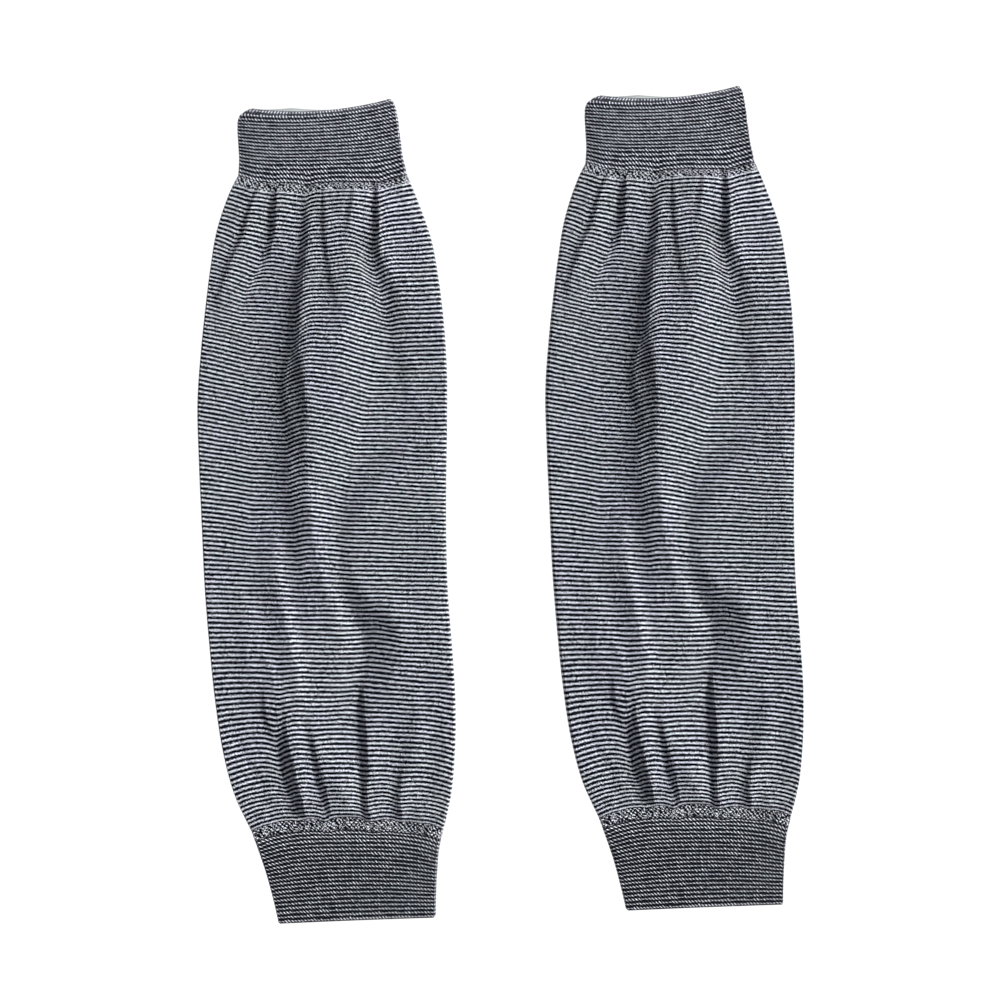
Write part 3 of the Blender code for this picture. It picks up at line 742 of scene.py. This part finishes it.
# Next to a join, a band of gathered stitches shows as short slanting strands:
# how many for each stitch and row, how wide the gaps between them are, how bright
# they are, and how soft the band's edge is. STRAND_LEANS is the two ways that they
# lean, each with its strength.
Band = namedtuple("Band", "across down gaps brightness edge")
BODY_BAND = Band(0.45, 0.9, 0.58, 0.95, 0.15)
CUFF_BAND = Band(0.9, 0.9, 0.80, 1.15, 0.3)
BODY_BAND_STRIPES = 2.3
STRAND_LEANS = (("SUBTRACT", 1.0), ("ADD", 0.6))
STRAND_SWERVE = Noise(650.0, 1.1)
STRAND_SPECKS = Noise(2400.0, 2.4, 1.0)
STRAND_EDGE = 0.3

# The body's stripes: how they drift, and how their edges are jagged and ragged,
# also from loop to loop and in single grains of a loop. STRIPE_EDGE is where the
# navy starts and where it is full, before its share is taken off.
STRIPE_DRIFT = Noise(380.0, 0.09)
STRIPE_JAGS = Noise(2300.0, 0.40, 1.0)
STRIPE_RAGS = Noise(2000.0, 0.9, 1.0)
LOOP_JAG = 0.05
GRAINS_A_LOOP = 3.0
GRAINS_A_STRIPE = 5.0
GRAIN_RAGS = 0.35
STRIPE_EDGE = (0.12, 0.49)
BODY_FLECK = Fleck(2700.0, 1.1, 0.10)
GRAIN_LIGHT = 0.6
LOOP_LIGHT = 0.09
TONE_SCALE = 45.0
TONE_EDGE = (0.38, 0.62)
FACE_DARK_SHARE = 0.77
INSIDE_DARK_SHARE = 0.30

# The cuffs' stitches: how their rows wander, where a stitch is widest and by how
# much, where the navy starts and is full, before its share is taken off, and
# where and how widely a thin strand crosses the navy. FIRST_ROWS is how many rows
# past its band a cuff's first rows end, and up to how many they differ in full.
ROW_WANDER = Noise(420.0, 0.14)
ROW_QUIVER = Noise(1200.0, 0.18)
BEAD_MIDDLE = 0.35
BEAD_WIDENING = 0.2
YARN_EDGE = (0.46, 0.53)
STRAND_PLACE = 0.86
STRAND_REACH = (0.20, 0.05)
CUFF_FLECK = Fleck(2400.0, 1.3, 0.45)
STITCH_LIGHT = 0.34
FIRST_ROWS = (5.5, 1.5)

# A cuff's look: its white, its stitches' slope, the navy's share of a row, how
# much a stitch's middle stands out, how much white crosses the navy, the row where
# its gathered band ends, which is off the cuff where it has none, and what is added
# to the white, and taken off the navy, on the first rows past that.
CuffLook = namedtuple(
    "CuffLook", "white slope dark_share beading bridge band_rows first_light first_cover"
)
UPPER_LOOK = CuffLook(
    white=(0.88, 0.90, 0.99), slope=UPPER_SLOPE, dark_share=0.41, beading=0.25, bridge=0.10,
    band_rows=-3.0, first_light=-0.1, first_cover=0.16,
)
LOWER_LOOK = CuffLook(
    white=(0.92, 0.94, 1.0), slope=LOWER_SLOPE, dark_share=0.437, beading=0.21, bridge=0.05,
    band_rows=2.8, first_light=0.25, first_cover=0.0,
)

# The inside of a cuff: its flecks, and how much its rows stand out.
LINING_FLECK = Fleck(1300.0, 0.4, 0.8)
LINING_ROWS = -0.12


class Graph:
    """Short ways to add shader nodes to one material. A value is a number or an output."""

    def __init__(self, name, roughness):
        self.material = bpy.data.materials.new(name)
        self.material.use_nodes = True
        self.tree = self.material.node_tree
        self.shader = self.tree.nodes["Principled BSDF"]
        self.shader.inputs["Roughness"].default_value = roughness
        self.shader.inputs["Specular IOR Level"].default_value = SPECULAR

    def node(self, kind, **settings):
        """A new node of one kind, with its settings."""
        node = self.tree.nodes.new(kind)
        for key, value in settings.items():
            setattr(node, key, value)
        return node

    def put(self, value, socket):
        """Link an output to a socket, or set the socket to a number."""
        if isinstance(value, bpy.types.NodeSocket):
            self.tree.links.new(value, socket)
        else:
            socket.default_value = value

    def math(self, operation, *values):
        """The result of one operation on one, two or three values."""
        node = self.node("ShaderNodeMath", operation=operation)
        for value, socket in zip(values, node.inputs):
            self.put(value, socket)
        return node.outputs[0]

    def times(self, first, second):
        """Two values, multiplied."""
        return self.math("MULTIPLY", first, second)

    def plus(self, *values):
        """Two or more values, added up."""
        total = values[0]
        for value in values[1:]:
            total = self.math("ADD", total, value)
        return total

    def scaled(self, value, factor, base):
        """A value times a factor, on top of a base."""
        return self.math("MULTIPLY_ADD", value, factor, base)

    def wave(self, operation, turns):
        """The sine or cosine of a number of full turns."""
        return self.math(operation, self.times(turns, math.tau))

    def distance(self, first, second):
        """How far apart two values are."""
        return self.math("ABSOLUTE", self.math("SUBTRACT", first, second))

    def ramp(self, value, low, high):
        """0 at low and 1 at high, smoothly, and level outside them."""
        node = self.node("ShaderNodeMapRange", interpolation_type="SMOOTHSTEP")
        self.put(value, node.inputs["Value"])
        node.inputs["From Min"].default_value = low
        node.inputs["From Max"].default_value = high
        return node.outputs["Result"]

    def mix(self, share, first, second):
        """A mix of two colours: share is the second one's."""
        node = self.node("ShaderNodeMix", data_type="RGBA")
        self.put(share, node.inputs[0])
        for value, socket in ((first, node.inputs[6]), (second, node.inputs[7])):
            self.put(value, socket)
        return node.outputs[2]

    def tinted(self, colour, brightness):
        """A colour, made lighter or darker."""
        node = self.node("ShaderNodeVectorMath", operation="SCALE")
        self.put(colour, node.inputs[0])
        self.put(brightness, node.inputs["Scale"])
        return node.outputs[0]

    def knit(self):
        """The stitch number round the tube and the row number along it."""
        source = self.node("ShaderNodeUVMap", uv_map="knit")
        split = self.node("ShaderNodeSeparateXYZ")
        self.tree.links.new(source.outputs[0], split.inputs[0])
        return split.outputs[0], split.outputs[1]

    def noise(self, scale, detail=2.0):
        """A soft noise between 0 and 1."""
        place = self.node("ShaderNodeTexCoord")
        node = self.node("ShaderNodeTexNoise")
        self.tree.links.new(place.outputs["Object"], node.inputs["Vector"])
        node.inputs["Scale"].default_value = scale
        node.inputs["Detail"].default_value = detail
        return node.outputs["Fac"]

    def cell_noise(self, across, down):
        """A random number between 0 and 1 for each whole cell across and down."""
        node = self.node("ShaderNodeTexWhiteNoise", noise_dimensions="2D")
        join = self.node("ShaderNodeCombineXYZ")
        self.put(self.math("FLOOR", across), join.inputs[0])
        self.put(self.math("FLOOR", down), join.inputs[1])
        self.tree.links.new(join.outputs[0], node.inputs["Vector"])
        return node.outputs["Value"]

    def swing(self, value, amount):
        """A value between 0 and 1, moved to run from minus to plus the amount."""
        return self.scaled(value, 2 * amount, -amount)

    def shifts(self, noise):
        """A noise that moves values by up to its amount."""
        return self.swing(self.noise(noise.scale, noise.detail), noise.amount)

    def flecks(self, fleck):
        """The uneven brightness of yarn."""
        return self.scaled(self.noise(fleck.scale), fleck.contrast, fleck.base)

    def fuzz(self, loop=0.0):
        """The yarn's fuzz, as a bump, with the knit's loops in it where they are given."""
        node = self.node("ShaderNodeBump")
        node.inputs["Strength"].default_value = FUZZ_STRENGTH
        node.inputs["Distance"].default_value = FUZZ_DEPTH
        height = self.scaled(loop, LOOP_FUZZ, self.noise(*FUZZ_NOISE))
        self.put(height, node.inputs["Height"])
        self.tree.links.new(node.outputs[0], self.shader.inputs["Normal"])

    def finish(self, colour):
        """The material, with its colour."""
        self.put(colour, self.shader.inputs["Base Color"])
        return self.material


def gathered_band(graph, across, down, white, navy, band):
    """The colours of gathered stitches: white strands that lean both ways, on navy."""
    across = graph.times(across, band.across)
    down = graph.times(down, band.down)
    swerve = graph.shifts(STRAND_SWERVE)
    strands = graph.shifts(STRAND_SPECKS)
    for lean, strength in STRAND_LEANS:
        place = graph.plus(graph.math(lean, across, down), swerve)
        strands = graph.scaled(graph.wave("SINE", place), strength, strands)
    shown = graph.ramp(strands, band.gaps - STRAND_EDGE, band.gaps + STRAND_EDGE)
    return graph.mix(shown, navy, graph.tinted(white, band.brightness))


def stripe_material(name, navy, dark_share):
    """The body's knit: stripes of flecked white and navy, below a gathered band."""
    graph = Graph(name, ROUGHNESS)
    wale, stripe = graph.knit()
    loop = graph.wave("SINE", wale)
    grain = graph.cell_noise(graph.times(wale, GRAINS_A_LOOP), graph.times(stripe, GRAINS_A_STRIPE))
    drifted = graph.plus(stripe, graph.shifts(STRIPE_DRIFT))
    jagged = graph.plus(drifted, graph.scaled(loop, LOOP_JAG, graph.shifts(STRIPE_JAGS)))
    ragged = graph.plus(graph.shifts(STRIPE_RAGS), graph.swing(grain, GRAIN_RAGS))
    edge = graph.plus(graph.wave("COSINE", jagged), ragged)
    starts, full = STRIPE_EDGE
    dark = graph.ramp(edge, starts - dark_share, full - dark_share)
    pale = graph.scaled(grain, GRAIN_LIGHT, graph.flecks(BODY_FLECK))
    pale = graph.scaled(loop, LOOP_LIGHT, pale)
    tone = graph.mix(graph.ramp(graph.noise(TONE_SCALE), *TONE_EDGE), *BODY_WHITES)
    striped = graph.mix(dark, graph.tinted(tone, pale), navy)
    band = gathered_band(graph, wale, stripe, tone, navy, BODY_BAND)
    soft = BODY_BAND.edge
    below = graph.ramp(drifted, BODY_BAND_STRIPES - soft, BODY_BAND_STRIPES + soft)
    graph.fuzz(loop)
    return graph.finish(graph.mix(below, band, striped))


def cuff_material(name, look):
    """A cuff's knit: rows of slanting white stitches on navy, and a gathered band."""
    graph = Graph(name, ROUGHNESS)
    stitch, row = graph.knit()
    across = graph.math("FRACT", stitch)
    each = graph.cell_noise(stitch, row)
    # The rows zigzag as their relief does in slant(), each stitch by its own amount.
    fall = graph.scaled(across, -2 / SLANT_SHARE, 1.0)
    rise = 2 / (1 - SLANT_SHARE)
    climb = graph.scaled(across, rise, -1 - rise * SLANT_SHARE)
    saw = graph.math("MAXIMUM", fall, climb)
    steep = graph.scaled(each, look.slope, look.slope / 2)
    wander = graph.plus(graph.shifts(ROW_WANDER), graph.shifts(ROW_QUIVER))
    place = graph.plus(row, graph.times(steep, saw), wander)
    off_yarn = graph.distance(graph.math("FRACT", place), 0.5)
    # A stitch is a bead: widest and brightest in its middle.
    bead = graph.wave("COSINE", graph.math("SUBTRACT", across, BEAD_MIDDLE))
    off_yarn = graph.scaled(bead, -BEAD_WIDENING * look.beading, off_yarn)
    starts, full = YARN_EDGE
    dark = graph.ramp(off_yarn, starts - look.dark_share, full - look.dark_share)
    strand = graph.ramp(graph.distance(across, STRAND_PLACE), *STRAND_REACH)
    dark = graph.times(dark, graph.scaled(strand, -look.bridge, 1.0))
    pale = graph.scaled(bead, look.beading, graph.flecks(CUFF_FLECK))
    pale = graph.plus(pale, graph.swing(each, STITCH_LIGHT))
    first = graph.ramp(row, *(look.band_rows + past for past in FIRST_ROWS))
    pale = graph.scaled(first, look.first_light, pale)
    dark = graph.times(dark, graph.scaled(first, -look.first_cover, 1.0))
    plain = graph.mix(dark, graph.tinted(look.white, pale), NAVY)
    band = gathered_band(graph, stitch, row, look.white, NAVY, CUFF_BAND)
    soft = CUFF_BAND.edge
    below = graph.ramp(place, look.band_rows - soft, look.band_rows + soft)
    graph.fuzz()
    return graph.finish(graph.mix(below, band, plain))


def lining_material(name, colour):
    """The inside of a cuff: pale, with faint rows."""
    graph = Graph(name, ROUGHNESS)
    _, row = graph.knit()
    brightness = graph.scaled(graph.wave("COSINE", row), LINING_ROWS, graph.flecks(LINING_FLECK))
    graph.fuzz()
    return graph.finish(graph.tinted(colour, brightness))


def linked(name, data):
    """A new object in the scene."""
    thing = bpy.data.objects.new(name, data)
    bpy.context.scene.collection.objects.link(thing)
    return thing


def sleeve_centre(side):
    """The middle of the sleeve's footprint, from its solids."""
    boxes = [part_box(f"{side}_{piece}") for piece in ("upper_cuff", "body", "lower_cuff")]
    low = Vector(min(box[0][axis] for box in boxes) for axis in range(3))
    high = Vector(max(box[1][axis] for box in boxes) for axis in range(3))
    return (low + high) / 2


def footprint_centre():
    """The middle of the footprint of the tables' sleeve, in millimetres."""
    x = [station.left_x for station in BODY] + [station.right_x for station in BODY]
    y = (UPPER_CUFF[0].right_y, LOWER_CUFF[-1].left_y)
    return (min(x) + max(x)) / 2, (min(y) + max(y)) / 2


# The floor, in metres. It glows white, so that it takes no shade from the sleeves.
FLOOR_HALF = 3.0
FLOOR_DROP = 0.0002
FLOOR_ROUGHNESS = 0.9
FLOOR_GLOW = 1.04
WHITE = (1.0, 1.0, 1.0, 1.0)
BLACK = (0.0, 0.0, 0.0, 1.0)


def make_floor():
    """The flat white floor under the sleeves."""
    corners = ((-1, -1), (1, -1), (1, 1), (-1, 1))
    points = [(x * FLOOR_HALF, y * FLOOR_HALF, -FLOOR_DROP) for x, y in corners]
    mesh = bpy.data.meshes.new("floor")
    mesh.from_pydata(points, [], [(0, 1, 2, 3)])
    graph = Graph("floor", FLOOR_ROUGHNESS)
    graph.shader.inputs["Emission Color"].default_value = WHITE
    graph.shader.inputs["Emission Strength"].default_value = FLOOR_GLOW
    mesh.materials.append(graph.finish(BLACK))
    return linked("floor", mesh)


# The pieces of a sleeve: the tube, its outer and inner materials, and its flat
# size in metres, all round by along.
upper_cuff = Cuff(UPPER_CUFF, UPPER_CUFF_ROWS, UPPER_SLOPE, UPPER_CUFF[0].row, UPPER_CUFF_FOLDS)
lower_cuff = Cuff(LOWER_CUFF, LOWER_CUFF_ROWS, LOWER_SLOPE, LOWER_CUFF[-1].row, {})
body_face = stripe_material("body_knit", NAVY, FACE_DARK_SHARE)
body_lining = stripe_material("body_knit_inside", INSIDE_NAVY, INSIDE_DARK_SHARE)
upper_face = cuff_material("upper_cuff_knit", UPPER_LOOK)
lower_face = cuff_material("lower_cuff_knit", LOWER_LOOK)
cuff_lining = lining_material("cuff_knit_inside", CUFF_INSIDE)
Piece = namedtuple("Piece", "tube materials flat")
PIECES = {
    "upper_cuff": Piece(cuff_tube(upper_cuff), (upper_face, cuff_lining), (0.150, 0.034)),
    "body": Piece(body_tube(), (body_face, body_lining), (0.226, 0.300)),
    "lower_cuff": Piece(cuff_tube(lower_cuff), (lower_face, cuff_lining), (0.158, 0.041)),
}

floor = make_floor()

centre_x, centre_y = footprint_centre()
for side in ("left", "right"):
    place = sleeve_centre(side)
    for piece, (tube, materials, flat) in PIECES.items():
        name = f"{side}_{piece}_knit"
        thing = linked(name, shell(name, tube))
        for material in materials:
            thing.data.materials.append(material)
        thing.location = (place.x - centre_x * MM, place.y - centre_y * MM, 0.0)
        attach(thing, "root")
        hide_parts(f"{side}_{piece}")

# One low, soft light from the right brings out the folds.
KEY_FROM = Vector((0.897, 0.207, 0.391))
KEY_STRENGTH = 5.5
KEY_ANGLE = math.radians(14.0)
key_data = bpy.data.lights.new("key", "SUN")
key_data.energy = KEY_STRENGTH
key_data.angle = KEY_ANGLE
key = linked("key", key_data)
key.rotation_euler = (-KEY_FROM).to_track_quat("-Z", "Y").to_euler()

# The rest of the light comes from all round, a little blue.
WORLD_COLOUR = (0.95, 0.98, 1.08, 1.0)
WORLD_STRENGTH = 0.23
world = bpy.data.worlds.new("studio")
bpy.context.scene.world = world
world.use_nodes = True
background = world.node_tree.nodes["Background"]
background.inputs["Color"].default_value = WORLD_COLOUR
background.inputs["Strength"].default_value = WORLD_STRENGTH

# The camera looks straight down, from nearly over the pair's middle. The picture
# is PICTURE pixels across, and each shows PIXEL of a metre of the floor.
PICTURE = 1000
PIXEL = 0.0004614
LENS = 85.0
SENSOR = 36.0
CAMERA_X = -0.0002
CAMERA_Y = 0.0021
camera_data = bpy.data.cameras.new("camera")
camera_data.lens = LENS
camera_data.sensor_width = SENSOR
camera = linked("camera", camera_data)
camera.location = (CAMERA_X, CAMERA_Y, PICTURE * PIXEL * LENS / SENSOR)
bpy.context.scene.camera = camera
bpy.context.scene.view_settings.view_transform = "Standard"
